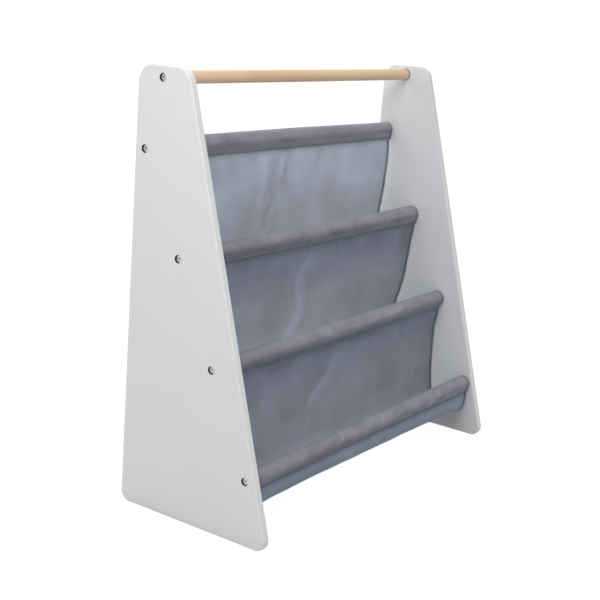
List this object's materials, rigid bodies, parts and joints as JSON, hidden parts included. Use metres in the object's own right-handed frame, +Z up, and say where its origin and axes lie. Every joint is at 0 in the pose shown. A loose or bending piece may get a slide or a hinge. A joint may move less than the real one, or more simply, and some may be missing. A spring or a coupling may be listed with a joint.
{
  "type": "sling bookshelf",
  "caption": "Low children's bookshelf with painted board sides, a bare wooden handle bar and stepped cloth slings that hold picture books face out.",
  "frame": {"origin": "on the floor, at the middle of the box round the whole shelf", "axes": "+X from the left board to the right as seen by a child in front, +Y towards the back, +Z up"},
  "size_m": [0.62, 0.2484, 0.6],
  "materials": {
    "painted_board": "satin white paint on board, eased edges",
    "bare_wood": "bare pale wood, sanded",
    "sleeve_cloth": "woven grey cloth over a rod, sewn below",
    "sling_cloth": "woven blue-grey cloth",
    "bolt_steel": "zinc plated, hexagon socket",
    "insert_brass": "plain turned brass"
  },
  "bodies": {
    "root": {"left_side": "painted_board", "right_side": "painted_board", "handle_bar": "bare_wood", "rod_1": "bare_wood", "rod_2": "bare_wood", "rod_3": "bare_wood", "rod_4": "bare_wood", "sleeve_1": "sleeve_cloth", "sleeve_2": "sleeve_cloth", "sleeve_3": "sleeve_cloth", "sleeve_4": "sleeve_cloth", "sling_top": "sling_cloth", "sling_middle": "sling_cloth", "sling_bottom": "sling_cloth", "left_bolt_handle": "bolt_steel", "left_bolt_rod_1": "bolt_steel", "left_bolt_rod_2": "bolt_steel", "left_bolt_rod_3": "bolt_steel", "left_bolt_rod_4": "bolt_steel", "right_bolt_handle": "bolt_steel", "right_bolt_rod_1": "bolt_steel", "right_bolt_rod_2": "bolt_steel", "right_bolt_rod_3": "bolt_steel", "right_bolt_rod_4": "bolt_steel", "left_insert_handle": "insert_brass", "left_insert_rod_1": "insert_brass", "left_insert_rod_2": "insert_brass", "left_insert_rod_3": "insert_brass", "left_insert_rod_4": "insert_brass", "right_insert_handle": "insert_brass", "right_insert_rod_1": "insert_brass", "right_insert_rod_2": "insert_brass", "right_insert_rod_3": "insert_brass", "right_insert_rod_4": "insert_brass"}
  },
  "joints": []
}
